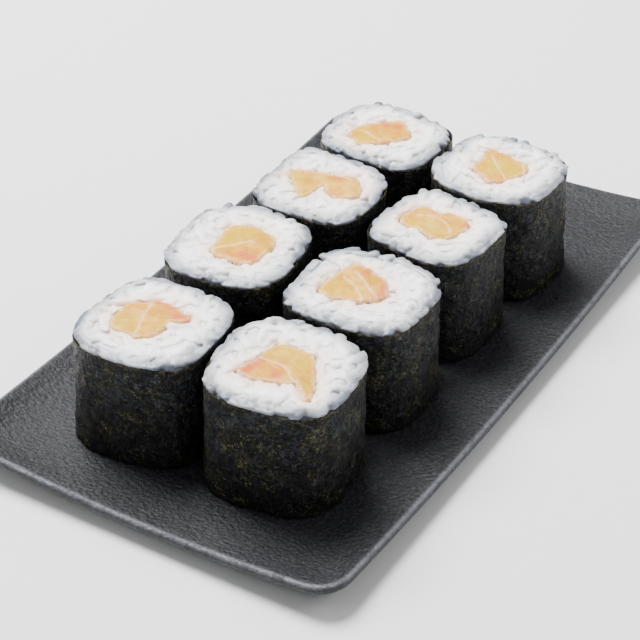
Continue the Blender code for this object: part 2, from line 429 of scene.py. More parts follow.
def top_of(node):
    """A function that gives the height of a node's top at points of the plan."""
    mesh = NODES[node].data
    corners = [v.co.copy() for v in mesh.vertices]
    tree = BVHTree.FromPolygons(corners, [p.vertices[:] for p in mesh.polygons])
    ceiling = max(c.z for c in corners)

    def heights(points):
        found = []
        for x, y in points:
            hit = tree.ray_cast(Vector((x, y, 2 * ceiling)), Vector((0, 0, -1)))[0]
            hit = hit or tree.find_nearest(Vector((x, y, ceiling)))[0]
            found.append(hit.z)
        return np.array(found)

    return heights


def levels(node, count):
    """Heights at which a node's outline is whole, from near its foot to near its top."""
    low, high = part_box(node)
    return np.linspace(low.z + FOOT_CLEAR, high.z - TOP_CLEAR, count)


def middle_of(roll):
    low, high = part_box("nori_" + roll)
    return np.array(((low + high) / 2).xy)


print("roll middles in mm:", {roll: (middle_of(roll) / MM).round(1).tolist() for roll in ROLLS})

# %% [markdown]
# ## Nori
# Nori is a sheet of pressed, toasted seaweed. Round warm rice it clings, and shows the
# grains underneath as soft pillows, while the knife leaves its edge slightly ragged. A
# cylinder with a bump map would keep a ruler straight silhouette. So the wall is a real
# skin with thickness: outlines of the solid stacked in many rows, pushed inwards by
# noise, and with a rim that wanders up and down.

# %% Nori skins
NORI_COLUMNS = 250
NORI_ROWS = 52
RIM_ROWS = ((0.06, 0.05), (0.22, 0.08), (0.38, 0.05))  # share across the sheet, rise in mm
INSIDE_ROWS = ((0.44, 0.985), (0.55, 0.94), (0.85, 0.85), (1.0, 0.6), (1.0, 0.3), (1.0, 0.0))
RIM_DROP = 0.70 * MM  # the cut sheet ends a little below the rice
EDGE_REACH = 1.6 * MM  # how far below the rim its edge still shows
PILLOWS, CREASES, WRINKLES = 0.24, 0.20, 0.18  # how deep each presses the sheet, in mm
MOST_PRESSED = 0.5  # mm that the three together may press
RIM_HELD = 5.0 * MM  # the rim is pressed less than what lies this far below


def nori_skin(roll):
    """Rows of points up the wrap and down its inside, their edge nearness, and its outlines."""
    node = "nori_" + roll
    heights = levels(node, 12)
    outer = outline_stack(node, 0, heights, NORI_COLUMNS)
    inner = outline_stack(node, 1, heights, NORI_COLUMNS)
    inner = np.array([aligned(loop, outer[k]) for k, loop in enumerate(inner)])
    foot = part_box(node)[0].z
    rim = top_of(node)((outer[-1] + inner[-1]) / 2)
    wander = np.column_stack([outer[-1], np.full(NORI_COLUMNS, foot)])
    fray = lumps(wander, 1.1 * MM, 3, seed=1)
    rim = soften(rim, 3) - RIM_DROP + 0.12 * MM * fray - 0.25 * MM * np.clip(fray - 0.35, 0, 1)
    bend = 0.16 * MM * lumps(wander, 3.0 * MM, 2, seed=2)

    rows, edge = [], []

    def add_row(across, z):
        nearness = np.clip(1 - (rim - z) / EDGE_REACH, 0, 1)
        outside, inside = (at_heights(stack, heights, z) for stack in (outer, inner))
        plan = outside * (1 - across) + inside * across
        plan = plan + unit(outside - inside) * (bend * nearness ** 2)[:, None]
        rows.append(np.column_stack([plan, z]))
        edge.append(nearness)

    for share in np.linspace(0, 1, NORI_ROWS) ** 0.9:
        add_row(0.0, foot + (rim - foot) * share)
    for across, rise in RIM_ROWS:
        add_row(across, rim + rise * MM)
    for across, share in INSIDE_ROWS:
        add_row(across, foot + (rim - foot) * share)
    return np.array(rows), np.array(edge), outer, inner


def press_wall(rows, outer, inner):
    """Push the sheet in by its pillows, creases and fine wrinkles; the inside follows partly."""
    inward = unit(inner.mean(0) - outer.mean(0))
    rim = rows[NORI_ROWS - 1, :, 2]
    for row, points in enumerate(rows):
        pillows = lumps(points, 3.0 * MM, 2, seed=3)
        creases = 1 - np.abs(lumps(points * (1, 1, 0.55), 10.0 * MM, 2, seed=4)) * 5
        wrinkles = lumps(points * (1, 1, 0.6), 1.0 * MM, 2, seed=5)
        depth = (PILLOWS * (0.5 - pillows) + CREASES * np.clip(creases, 0, 1) ** 3
                 + WRINKLES * (0.4 - wrinkles))
        depth *= np.clip((rim - points[:, 2]) / RIM_HELD, 0.06, 1)
        depth = np.clip(depth, 0, MOST_PRESSED) * (1.0 if row < NORI_ROWS else 0.4)
        points[:, :2] += inward * depth[:, None] * MM
    return rows


def nori_finish():
    """Satin, fibrous black green seaweed, olive flecked, browner at its cut edge, with painted glints and
    foot shade.
    """
    material, graph, shader = new_finish("pressed_seaweed", {"Specular IOR Level": 0.23, "IOR": 1.45})
    spot = place(graph)
    cloud = speckle(spot, 4.5 * MM, 3)
    fibres = speckle(place(graph, (1.0, 1.0, 2.6)), 1.9 * MM, 4, 0.6, 1.8)
    crossing = speckle(place(graph, (2.4, 2.4, 0.8)), 1.8 * MM, 4, 0.6, 1.8)
    threads = fibres.step(0.55, 0.64) * 0.6 + crossing.step(0.55, 0.64) * 0.6
    pits = speckle(spot, 1.4 * MM, 3, 0.6, 1.2).step(0.43, 0.54)
    olive = speckle(spot, 4.0 * MM, 3, 0.6, 1.0).step(0.50, 0.64)
    # olive flecks, brightened so that they stand partly for painted glints
    lying = speckle(place(graph, (0.9, 0.9, 2.6)), 0.85 * MM, 2, 0.6, 1.2).step(0.60, 0.65)
    upright = speckle(place(graph, (2.4, 2.4, 0.9)), 0.85 * MM, 2, 0.6, 1.2).step(0.61, 0.66)
    flecks_and_glints = lying + upright
    # white specks, partly real specks and partly painted glints
    specks_and_glints = speckle(spot, 0.36 * MM, 1).step(0.76, 0.79)
    edge = attribute(graph, "edge")
    torn = edge ** 3.0 * speckle(spot, 0.9 * MM, 3).step(0.44, 0.62)
    # painted shade: the sheet is darkened towards its foot, where less light reaches it
    foot_shade = 1 - spot.node("ShaderNodeSeparateXYZ", {}, {0: spot}, output=2).step(5 * MM, 25 * MM)
    color = cloud.step(0.35, 0.65).tint((0.0034, 0.0042, 0.0076), (0.0115, 0.0140, 0.0225))
    color = (olive * 0.8).tint(color, (0.0165, 0.0170, 0.0070))
    color = (threads * 0.90).tint(color, (0.1400, 0.1450, 0.1400))
    color = pits.tint((0.0006, 0.0007, 0.0009), color)
    # painted shade towards the foot
    color = (foot_shade * 0.6).tint(color, (0.0012, 0.0013, 0.0014))
    # olive flecks, partly painted glints
    color = (flecks_and_glints * (0.05 + 0.60 * olive)).tint(color, (0.260, 0.245, 0.090))
    color = (torn * 0.6).tint(color, (0.130, 0.100, 0.025))
    # white specks, partly painted glints
    color = (specks_and_glints * 0.8).tint(color, (0.60, 0.60, 0.55))
    join(graph, shader, Base_Color=color, Roughness=0.30 + 0.30 * fibres)
    height = threads * 0.7 + pits * 0.9 + speckle(spot, 1.6 * MM, 4) * 1.8
    join(graph, shader, Normal=bumps(height, 0.70 * MM))
    return material


NORI = nori_finish()
WALLS = {}
for roll in ROLLS:
    rows, edge, outer, inner = nori_skin(roll)
    rows = press_wall(rows, outer, inner)
    WALLS[roll] = {"rim": rows[NORI_ROWS - 1, :, 2].mean(),
                   "inner": outer[-1] * 0.60 + inner[-1] * 0.40}
    faces = grid_faces(len(rows), NORI_COLUMNS, closed=True)
    wrap = new_piece("nori_wrap_" + roll, rows.reshape(-1, 3), faces, NORI, {"edge": edge.ravel()})
    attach(wrap, "root")
    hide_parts("nori_" + roll)
print("nori rows and columns:", rows.shape[:2], "rim at", round(WALLS[roll]["rim"] / MM, 2), "mm")

# %% [markdown]
# The core and the fish are the same kind of form: a finely meshed top, walls that follow
# the outlines down through the roll, and a coarse bottom that nobody sees. Extruding a
# face would leave the walls straight, so the helper below joins the loops themselves.

# %% Closed solids with a fine top
SOLID_LEVELS = 6  # loops in the walls of a core or a strip
NO_DOTS = 1.0  # metres: a spacing so wide that a bottom gets no points inside


def closed_solid(stacks, top_points, top_triangles, top_heights, heights):
    """Join a fine top, walls through the stacked loops, and a bottom."""
    points = [np.column_stack([top_points, top_heights])]
    faces = top_triangles.tolist()
    total = len(top_points)
    starts, begin = [], 0
    for stack in stacks:
        count = stack.shape[1]
        previous = np.arange(begin, begin + count)
        flip = bool(starts)
        for loop, height in zip(stack[::-1][1:], heights[::-1][1:]):
            points.append(np.column_stack([loop, np.full(count, height)]))
            here = np.arange(total, total + count)
            quads = np.stack([here, np.roll(here, -1), np.roll(previous, -1), previous], 1)
            faces += (quads[:, ::-1] if flip else quads).tolist()
            previous, total = here, total + count
        starts.append(previous)
        begin += count
    bottom_triangles = fill([stack[0] for stack in stacks], NO_DOTS, 0)[1]
    faces += np.concatenate(starts)[bottom_triangles[:, ::-1]].tolist()
    return np.vstack(points), faces


print("loops of the first strip at, in mm:", (levels("fish_" + ROLLS[0], SOLID_LEVELS) / MM).round(1))

# %% [markdown]
# ## Fish
# The strips in the middle are raw fish: bands of muscle parted by paler membranes, with
# fine fibres across each band, and pink where the flesh is darker. Membranes and patches
# sit in real places on each piece, so they are placed one by one and stored as numbers
# on the mesh. The fibres are too fine for that: a distance across them is stored, and a
# one dimensional noise turns it into lines.

# %% Where the membranes, yellow bands and pink patches lie
MEMBRANE = 0.28  # mm: half the width of a membrane

# mm from the roll's middle, membranes as lines and patches as place and reach; fibres in degrees
FISH_MARKS = {
    "left_1": {"fibres": 30, "yellow": [(-5.0, -4.1, 3.4), (2.9, 0.1, 2.0)],
        "gold": [(1.2, -5.6, 1.2)],
        "pink": [(-2.0, 6.2, 1.2), (0.8, 6.0, 1.4), (3.8, 4.4, 1.6), (6.6, 3.6, 1.6), (4.0, -3.0, 1.2)],
        "membranes": [((-3.2, 4.9), (-2.4, 0.9), (-0.5, -4.7))]},
    "left_2": {"fibres": 52, "yellow": [(-1.7, 4.4, 3.4), (-3.3, 0.3, 2.4)],
        "gold": [(3.8, 4.3, 1.8), (6.5, 2.4, 1.8)],
        "pink": [(-4.7, -3.1, 1.1), (3.1, -3.0, 1.6), (5.8, -2.9, 1.7)],
        "membranes": [((-3.8, -4.8), (-1.3, -1.6), (2.1, 2.3))]},
    "left_3": {"fibres": 16, "yellow": [(-6.4, -0.3, 2.4), (-1.6, -7.0, 2.2)],
        "gold": [(-3.6, -0.5, 1.6), (7.9, 2.0, 1.6)],
        "pink": [(5.6, -4.6, 1.9), (1.9, 4.2, 1.3)],
        "membranes": [((-2.6, 4.4), (0.5, 5.0), (4.4, 5.2))]},
    "left_4": {"fibres": 49, "yellow": [(-3.5, -4.4, 3.0)],
        "gold": [(4.6, 2.0, 1.5)],
        "pink": [(-2.1, 3.0, 1.3), (1.1, 4.0, 1.4), (1.9, -4.0, 1.3)],
        "membranes": [((-6.0, -1.8), (-3.0, -2.3), (0.2, -3.6))]},
    "right_1": {"fibres": -28, "yellow": [(-3.6, 3.4, 3.2), (2.5, 1.8, 2.8)],
        "gold": [(6.1, -2.3, 1.9), (7.9, -4.2, 1.6), (-4.8, 3.3, 1.0)],
        "pink": [(-4.9, -2.1, 1.8), (-5.5, -5.0, 1.8), (-0.3, -0.2, 1.0), (0.5, -3.6, 1.5)],
        "membranes": [((-5.2, -0.7), (-1.9, -0.3), (0.9, -0.2), (2.9, -2.6), (6.3, -4.3), (9.4, -7.1))]},
    "right_2": {"fibres": -46, "yellow": [(-6.8, -3.0, 2.6)],
        "gold": [(-0.5, 3.7, 1.4)],
        "pink": [(-2.9, 5.2, 1.0), (3.1, 2.7, 1.5), (4.0, -0.1, 1.7)],
        "membranes": [((-6.3, 2.0), (-2.3, -0.3), (1.7, -4.3)), ((-5.1, 4.5), (-1.6, 2.4), (2.9, -1.3))]},
    "right_3": {"fibres": -40, "yellow": [(-4.9, -1.7, 2.6), (-0.8, -1.8, 2.4)],
        "gold": [(3.2, -3.2, 1.7)],
        "pink": [(-2.9, 5.2, 1.0), (5.5, 3.6, 1.4)],
        "membranes": [((-5.5, 1.8), (-2.1, 3.2), (1.6, 1.2), (3.4, -1.2))]},
    "right_4": {"fibres": -40, "yellow": [(-2.8, 0.6, 3.6), (2.8, 0.5, 3.0)],
        "gold": [(5.8, 3.0, 1.6)],
        "pink": [(3.6, -4.6, 1.5), (-1.4, -6.2, 1.5), (-5.4, -4.4, 1.2)],
        "membranes": [((-4.2, 3.3), (0.2, -1.1), (3.0, -3.8)), ((2.9, 4.8), (4.4, 2.1), (5.8, -0.7))]},
}


def near_line(points, line):
    """Distance of each point to an open line of short stretches."""
    best = np.full(len(points), np.inf)
    for a, b in zip(np.array(line[:-1]), np.array(line[1:])):
        run = b - a
        share = np.clip((points - a) @ run / (run @ run), 0, 1)
        best = np.minimum(best, np.linalg.norm(points - a - share[:, None] * run, axis=1))
    return best


def patches(points, spots):
    """1 in the middle of each spot, fading to 0 past its reach."""
    total = np.zeros(len(points))
    for x, y, reach in spots:
        total += np.exp(-(np.hypot(points[:, 0] - x, points[:, 1] - y) / reach) ** 2)
    return np.clip(total, 0, 1)


def flesh_numbers(points, middle, marks):
    """Membrane, yellow, gold, pink and across-the-fibres numbers for points of the plan."""
    local = (points[:, :2] - middle) / MM
    bent = local + 0.35 * lumps(local, 2.4, 3, seed=9)[:, None]
    membrane = np.zeros(len(local))
    for line in marks["membranes"]:
        membrane = np.maximum(membrane, np.exp(-(near_line(bent, line) / MEMBRANE) ** 2))
    angle = math.radians(marks["fibres"] + 90)
    across = bent @ np.array([math.cos(angle), math.sin(angle)])
    shades = {shade: patches(bent, marks[shade]) for shade in ("yellow", "gold", "pink")}
    return {"membrane": membrane, "across": across, **shades}


print("membranes placed:", sum(len(marks["membranes"]) for marks in FISH_MARKS.values()))

# %% [markdown]
# The knife tears the strip's edge a little, so its top loop gets shallow bites. Raw flesh
# also lets light in, red further than blue, so the finish scatters light below the
# surface. Its colours are layers, each laid over the last by its own mask. One ramp
# through all of them would be shorter, but then no patch could be changed by itself.

# %% The torn edge and the finish of fish
def ragged(loop, depth):
    """The loop with shallow bites taken out of it, softly."""
    back_x, back_y = (np.roll(loop, 1, 0) - np.roll(loop, -1, 0)).T
    inward = unit(np.stack([back_y, -back_x], axis=1))
    bites = lumps(loop, 1.5 * MM, 3, seed=10)
    return loop + inward * (depth * np.clip(0.35 + bites, 0, 1))[:, None]


def fish_finish():
    """Raw fish: moist, translucent bands of peach and yellow, with pale membranes."""
    material, graph, shader = new_finish("raw_fish", {
        "Subsurface Weight": 0.25, "Subsurface Scale": 1.0,
        "Subsurface Radius": (1.9 * MM, 0.9 * MM, 0.5 * MM),
        "IOR": 1.42, "Specular IOR Level": 0.20, "Coat Roughness": 0.16})
    spot = place(graph)
    across = attribute(graph, "across")
    lines = across.node("ShaderNodeTexNoise", {"noise_dimensions": "1D"},
                        {"W": across + speckle(spot, 1.4 * MM, 2) * 0.5, "Scale": 2.6, "Detail": 3.0})
    fibres = lines.step(0.38, 0.64)
    cloud = speckle(spot, 2.2 * MM, 3)
    color = cloud.step(0.35, 0.65).tint((0.54, 0.210, 0.006), (0.68, 0.335, 0.030))
    color = (attribute(graph, "yellow") * 0.95).tint(color, (0.56, 0.335, 0.0005))
    milky = speckle(spot, 3.6 * MM, 2).step(0.50, 0.66)
    color = (milky * 0.24).tint(color, (0.86, 0.60, 0.20))
    color = attribute(graph, "gold").tint(color, (0.47, 0.240, 0.0002))
    color = (attribute(graph, "pink") * 0.9).tint(color, (0.55, 0.070, 0.035))
    color = (fibres * 0.20).tint(color, (0.84, 0.56, 0.03))
    color = (attribute(graph, "membrane") * 0.5).tint(color, (0.92, 0.70, 0.40))
    torn = 0.3 + 0.7 * speckle(spot, 1.5 * MM, 3).step(0.42, 0.62)
    smear = attribute(graph, "border") ** 1.6 * torn
    color = (smear * 0.7).tint(color, (0.90, 0.72, 0.52))
    join(graph, shader, Base_Color=color, Roughness=0.34 + 0.2 * cloud, Coat_Weight=0.06 - 0.04 * fibres)
    join(graph, shader, Normal=bumps(fibres + speckle(spot, 0.4 * MM, 3) * 0.6, 0.07 * MM))
    return material


FISH = fish_finish()
FISH_OUTLINE = 190  # points round a strip
FISH_ROUND = 0.55 * MM  # how far in the knife's edge of a strip is rounded
FISH_RAGGED = 0.42 * MM  # how deep the torn edge of a strip goes
FISH_SPACING = 0.27 * MM  # between the points of a strip's top
SMEAR_REACH = 1.3 * MM  # how far in from the edge rice is smeared over the fish
STRIPS = {}
for roll in ROLLS:
    node = "fish_" + roll
    heights = levels(node, SOLID_LEVELS)
    stack = outline_stack(node, 0, heights, FISH_OUTLINE, reach=1)
    stack[-1] = ragged(stack[-1], FISH_RAGGED)
    STRIPS[roll] = stack[-1]
    flat, triangles = fill([stack[-1]], FISH_SPACING, seed=20 + ROLLS.index(roll))
    numbers = flesh_numbers(flat, middle_of(roll), FISH_MARKS[roll])
    inset = near_edge(flat, stack[-1], FISH_ROUND)
    swell = lumps(flat, 3.2 * MM, 3, seed=11)
    tops = (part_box(node)[1].z - FISH_ROUND * (1 - np.sqrt(1 - inset ** 2 * 0.98))
            - 0.12 * MM * numbers["membrane"] - 0.14 * MM * (0.5 - swell))
    points, faces = closed_solid([stack], flat, triangles, tops, heights)
    numbers = flesh_numbers(points, middle_of(roll), FISH_MARKS[roll])
    numbers["border"] = near_edge(points[:, :2], stack[-1], SMEAR_REACH)
    strip = new_piece("fish_strip_" + roll, points, faces, FISH, numbers)
    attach(strip, "root")
    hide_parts(node)
print("points in the last strip:", len(points))

# %% [markdown]
# ## Rice
# Sushi rice is short grained and sticky. The knife has smeared the cut face, so the
# middle reads as one white mass, and single grains stand out where the ring meets the
# nori. Scattered instances would be lost on export, and a bumpy surface alone has no
# undercuts. So each roll gets two pieces: real grains at their true size, joined, and a
# core of the same rice whose top lies a little lower.
#
# One grain is a row of rings from tip to tip, fuller at one end and slightly bent.

# %% The form of one grain
GRAIN_LENGTH, GRAIN_WIDTH = 5.2 * MM, 2.6 * MM
GRAIN_RINGS, GRAIN_SIDES = 8, 12


def grain_form():
    """Points and triangles of a grain one long and one wide, lying along X."""
    stations = -np.cos(np.linspace(0, math.pi, GRAIN_RINGS + 2))
    turns = np.linspace(0, 2 * math.pi, GRAIN_SIDES, endpoint=False)
    points = [(-0.5, 0.0, 0.0)]
    for along in stations[1:-1]:
        radius = 0.5 * (1 - along * along) ** 0.42 * (1 + 0.12 * along)
        sag = 0.10 * (1 - along * along)
        points += [(along / 2, radius * math.cos(a) + sag, 0.9 * radius * math.sin(a)) for a in turns]
    points.append((0.5, 0.0, 0.0))
    last = len(points) - 1
    faces = [(0, 1 + (k + 1) % GRAIN_SIDES, 1 + k) for k in range(GRAIN_SIDES)]
    end = last - GRAIN_SIDES
    faces += [(last, end + k, end + (k + 1) % GRAIN_SIDES) for k in range(GRAIN_SIDES)]
    for a, b, c, d in grid_faces(GRAIN_RINGS, GRAIN_SIDES, first=1):
        faces += [(a, b, c), (a, c, d)]
    return np.array(points), np.array(faces)


GRAIN_POINTS, GRAIN_FACES = grain_form()
print("one grain:", len(GRAIN_FACES), "triangles")

# %% [markdown]
# A row of grains comes first, lying along the nori as pressed grains do. The rest are
# thrown like darts: a random place is kept only if no kept place is too near, which
# spreads them evenly without a pattern. Then each grain's points are squashed against
# what holds them: the knife's plane above, the fish inside and the nori outside. Only
# above the rim may a grain lean out over the sheet.

# %% Lay the grains
DARTS = 6000  # random places tried in a roll
DART_CLEAR = (1.2 * MM, 0.5 * MM)  # how far a dart keeps from the nori and from the fish
ROW_INSET = (0.5, 1.25)  # mm from the nori to the middles of the grains that follow it
GRAIN_GAP = 1.95 * MM  # least distance between two grains' middles
RIM_GAP = 2.7 * MM  # spacing of the grains that follow the nori
OVERHANG = 0.46 * MM  # how far a grain may lean out over the sheet
KNIFE_DEPTH = 0.16 * MM  # the cut face lies this far below the solid's top
GRAIN_FLOOR = 1.8 * MM  # no grain reaches deeper than this below the rim
RIM_RISE = 0.45 * MM  # the rice stands at least this much above the rim
ROW_SUNK, RING_SUNK = (0.25, 0.80), (0.45, 1.40)  # mm from the knife's plane to the middles
FISH_LAP = 0.15 * MM  # how far a grain may lie over the rounded edge of the fish
UPRIGHT_SHARE = 0.25  # this share of the grains stands up rather than lies


def grain_places(rng, hold, core):
    """Middles of the grains in the plan: a row along the nori, then darts in the ring."""
    steps = max(int(loop_length(hold) / RIM_GAP), 8)
    row = even_loop(hold, steps, 1)
    kept = list(row + unit(row.mean(0) - row) * rng.uniform(*ROW_INSET, (steps, 1)) * MM)
    darts = rng.uniform(hold.min(0), hold.max(0), (DARTS, 2))
    from_nori, from_fish = -to_loop(darts, hold)[0], to_loop(darts, core)[0]
    for dart in darts[(from_nori > DART_CLEAR[0]) & (from_fish > DART_CLEAR[1])]:
        if np.hypot(*(np.array(kept) - dart).T).min() > GRAIN_GAP:
            kept.append(dart)
    return np.array(kept), steps


def turned_grain(rng, heading, steep):
    """One grain's points at true size, turned to its heading and tipped by steep."""
    size = np.array([GRAIN_LENGTH, GRAIN_WIDTH, GRAIN_WIDTH]) * rng.uniform(0.86, 1.12, 3)
    roll_over = rng.uniform(0, 6.28)
    turn = Euler((roll_over, steep, heading)).to_matrix()
    return (GRAIN_POINTS * size) @ np.array(turn).T


def lay_grains(roll, hold, core, roof, rim):
    """All the grains of one roll, squashed into their ring, with numbers for the finish."""
    rng = np.random.default_rng(40 + ROLLS.index(roll))
    places, in_row = grain_places(rng, hold, core)
    heights = np.maximum(roof(places), rim + RIM_RISE)
    points = []
    tones = rng.random(len(places))
    for k, (spot, height) in enumerate(zip(places, heights)):
        along = math.atan2(*(spot - hold.mean(0))[::-1]) + math.pi / 2
        heading = along + rng.normal(0, 0.5) if k < in_row else rng.uniform(0, math.pi)
        lies = rng.random() > UPRIGHT_SHARE
        steep = rng.normal(0, 0.30) if lies else rng.uniform(0.7, 1.4)
        sunk = rng.uniform(*(ROW_SUNK if k < in_row else RING_SUNK)) * MM
        points.append(turned_grain(rng, heading, steep) + (*spot, height - sunk))
    points = np.vstack(points)
    plan, z = points[:, :2], points[:, 2]
    ceiling = (np.maximum(roof(plan), rim + RIM_RISE) - KNIFE_DEPTH
               + 0.14 * MM * (lumps(points, 3.0 * MM, 2, seed=7) - 0.5))
    z = np.where(z > ceiling, ceiling + (z - ceiling) * 0.36, z)
    z = np.maximum(z, rim - GRAIN_FLOOR)
    for _ in range(2):
        gap, nearest = to_loop(plan, core)
        pushed = nearest - unit(nearest - core.mean(0)) * FISH_LAP
        plan = np.where((gap < -FISH_LAP)[:, None], pushed, plan)
    gap, nearest = to_loop(plan, hold)
    room = np.clip((z - rim) / (0.5 * MM), 0, 1) * OVERHANG - 0.05 * MM
    leaning = nearest - unit(hold.mean(0) - nearest) * room[:, None]
    plan = np.where((gap > room)[:, None], leaning, plan)
    faces = GRAIN_FACES[None] + np.arange(len(places))[:, None, None] * len(GRAIN_POINTS)
    return np.column_stack([plan, z]), faces.reshape(-1, 3).tolist(), tones


print("grains that follow the first roll's nori:", int(loop_length(WALLS[ROLLS[0]]["inner"]) / RIM_GAP))

# %% [markdown]
# Starch glues the grains where they touch, so the seams between them are soft hollows
# and not knife cuts. A voxel remesh joins whatever overlaps into one skin, and a round
# of smoothing opens the seams. The voxels are a tenth of a grain's width, which keeps
# each grain's own form. The remesh loses the numbers on the points, so they are worked
# out again from the places of the new points.

# %% Fuse the grains of a roll
VOXEL = 0.27 * MM
SEAM_SHADE_DEPTH = 0.9 * MM  # how deep below the top a seam's painted shade is at its darkest
NORI_SHADE_REACH, FISH_REACH = 4.0 * MM, 3.6 * MM  # how far the nori's painted shade and the fish's stain reach


def fused(points, faces):
    """The skin of all the grains together, its seams softened."""
    mesh = bpy.data.meshes.new("loose")
    mesh.from_pydata(points.tolist(), [], faces)
    loose = bpy.data.objects.new("loose", mesh)
    bpy.context.collection.objects.link(loose)
    remesh = loose.modifiers.new("fuse", "REMESH")
    remesh.mode, remesh.voxel_size = "VOXEL", VOXEL
    soft = loose.modifiers.new("soften", "SMOOTH")
    soft.factor, soft.iterations = 0.5, 1
    graph = bpy.context.evaluated_depsgraph_get()
    skin = bpy.data.meshes.new_from_object(loose.evaluated_get(graph))
    found = np.zeros(len(skin.vertices) * 3, np.float32)
    skin.vertices.foreach_get("co", found)
    skin_faces = [p.vertices[:] for p in skin.polygons]
    bpy.data.objects.remove(loose)
    return found.reshape(-1, 3).astype(float), skin_faces


def rice_numbers(points, tones, roof, hold, core):
    """Grain tone, depth below the top and nearness to the nori for painted shade, and nearness to the
    fish.
    """
    plan = points[:, :2]
    return {"tone": tones,
            "seam": np.clip((roof(plan) - points[:, 2]) / SEAM_SHADE_DEPTH - 0.25, 0, 1),
            "wall": np.minimum(near_edge(plan, hold, NORI_SHADE_REACH), 0.85),
            "stain": np.clip(1 - to_loop(plan, core)[0] / FISH_REACH, 0, 1)}


print("voxels across a grain:", round(GRAIN_WIDTH / VOXEL, 1))

# %% [markdown]
# Cooked rice is white, but glassy where a grain is thin: light enters one side and leaves
# by another. Plain white paint would look like chalk, so most of the light is scattered
# inside. Near the nori the rice is painted a dark blue grey, more in some grains than in
# others: painted shade, where it gets less light and the dark sheet shows through. Its
# seams are painted grey as shade too, and the fish warms the grains that touch it.

# %% The finish of cooked rice
def rice_finish():
    """Cooked rice: white, slightly translucent, painted shade at the nori and in seams, warmer at the
    fish.
    """
    material, graph, shader = new_finish("steamed_rice", {
        "Subsurface Weight": 0.8, "Subsurface Scale": 1.0,
        "Subsurface Radius": (1.2 * MM, 1.1 * MM, 1.0 * MM), "IOR": 1.36, "Coat Roughness": 0.2})
    spot = place(graph)
    grain = attribute(graph, "tone")
    cloud = speckle(spot, 1.6 * MM, 3)
    color = grain.tint((0.84, 0.835, 0.825), (0.97, 0.955, 0.93))
    color = (cloud.step(0.5, 0.8) * 0.15).tint(color, (0.78, 0.80, 0.83))
    # painted shade: near the nori the rice gets less light and the dark sheet shows through, so it is
    # painted blue grey
    outer = attribute(graph, "wall") * (0.75 + 0.35 * grain)
    color = outer.tint(color, (0.035, 0.052, 0.095))
    # painted shade in the seams between grains, deeper ones darker
    color = (attribute(graph, "seam") * 0.7).tint(color, (0.34, 0.37, 0.44))
    color = (attribute(graph, "stain") * 0.55).tint(color, (0.95, 0.56, 0.40))
    join(graph, shader, Base_Color=color, Roughness=0.30 + 0.25 * cloud, Coat_Weight=0.25 - 0.2 * cloud)
    height = speckle(spot, 0.5 * MM, 3) * 0.6 + speckle(spot, 1.3 * MM, 2)
    join(graph, shader, Normal=bumps(height, 0.05 * MM, 0.6))
    return material


RICE = rice_finish()
print("nodes in the finish of rice:", len(RICE.node_tree.nodes))

# %% [markdown]
# Now each roll gets its two pieces. The core fills the ring from the foot up, and its
# top lies just under the grains, deeper at the nori, so that a gap between two grains
# shows rice and not a hole. Each point of the fused skin takes the tone of the loose
# grain that it came from, which a tree of the loose points finds fast.

# %% Rice cores and grains
CORE_POINTS, HOLE_POINTS = 130, 90
CORE_SPACING = 0.42 * MM  # between the points of a core's top
CORE_TONE = 0.4  # between the darkest grain's 0 and the lightest one's 1
CORE_DEPTH = 0.42 * MM  # how far the core lies below the grains, in the middle
WALL_DEPTH = 0.55 * MM  # and how much further down it falls at the nori
WALL_SLOPE = 3.0 * MM  # how far in from the nori that fall starts
most_faces = 0
for roll in ROLLS:
    node = "rice_" + roll
    heights = levels(node, SOLID_LEVELS)
    around = outline_stack(node, 0, heights, CORE_POINTS)
    hole = outline_stack(node, 1, heights, HOLE_POINTS)
    hole[-1] = aligned(even_loop(STRIPS[roll], HOLE_POINTS, 1), hole[-2])
    roof = top_of(node)
    hold, core = WALLS[roll]["inner"], hole[-1]
    flat, triangles = fill([around[-1], hole[-1]], CORE_SPACING, seed=ROLLS.index(roll))
    tops = roof(flat) - CORE_DEPTH - WALL_DEPTH * near_edge(flat, around[-1], WALL_SLOPE) ** 2
    relief = lumps(np.column_stack([flat, tops]), 1.6 * MM, 3, seed=8)
    solid_points, solid_faces = closed_solid([around, hole], flat, triangles,
                                             tops + 0.12 * MM * relief, heights)
    loose_points, loose_faces, tones = lay_grains(roll, hold, core, roof, WALLS[roll]["rim"])
    points, faces = fused(loose_points, loose_faces)
    grain_tree = KDTree(len(loose_points))
    for index, point in enumerate(loose_points):
        grain_tree.insert(point, index)
    grain_tree.balance()
    owners = [grain_tree.find(point)[1] // len(GRAIN_POINTS) for point in points]
    numbers = rice_numbers(points, tones[owners], roof, hold, core)
    grains = new_piece("rice_grains_" + roll, points, faces, RICE, numbers)
    numbers = rice_numbers(solid_points, np.full(len(solid_points), CORE_TONE), roof, hold, core)
    mass = new_piece("rice_core_" + roll, solid_points, solid_faces, RICE, numbers)
    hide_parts(node)
    for piece in (mass, grains):
        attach(piece, "root")
    most_faces = max(most_faces, len(faces))
print("grains in the last roll:", len(tones), "faces in the largest skin:", most_faces)

# %% [markdown]
# ## Tray
# The tray is dark stoneware from a mould, with a flat foot, a thin rounded lip and
# corners that lift a little. Its lip is what catches the light, so the section has to be
# smooth there. A curve is run through the section's few stations, and carried round a
# rounded rectangle in closely spaced rings.

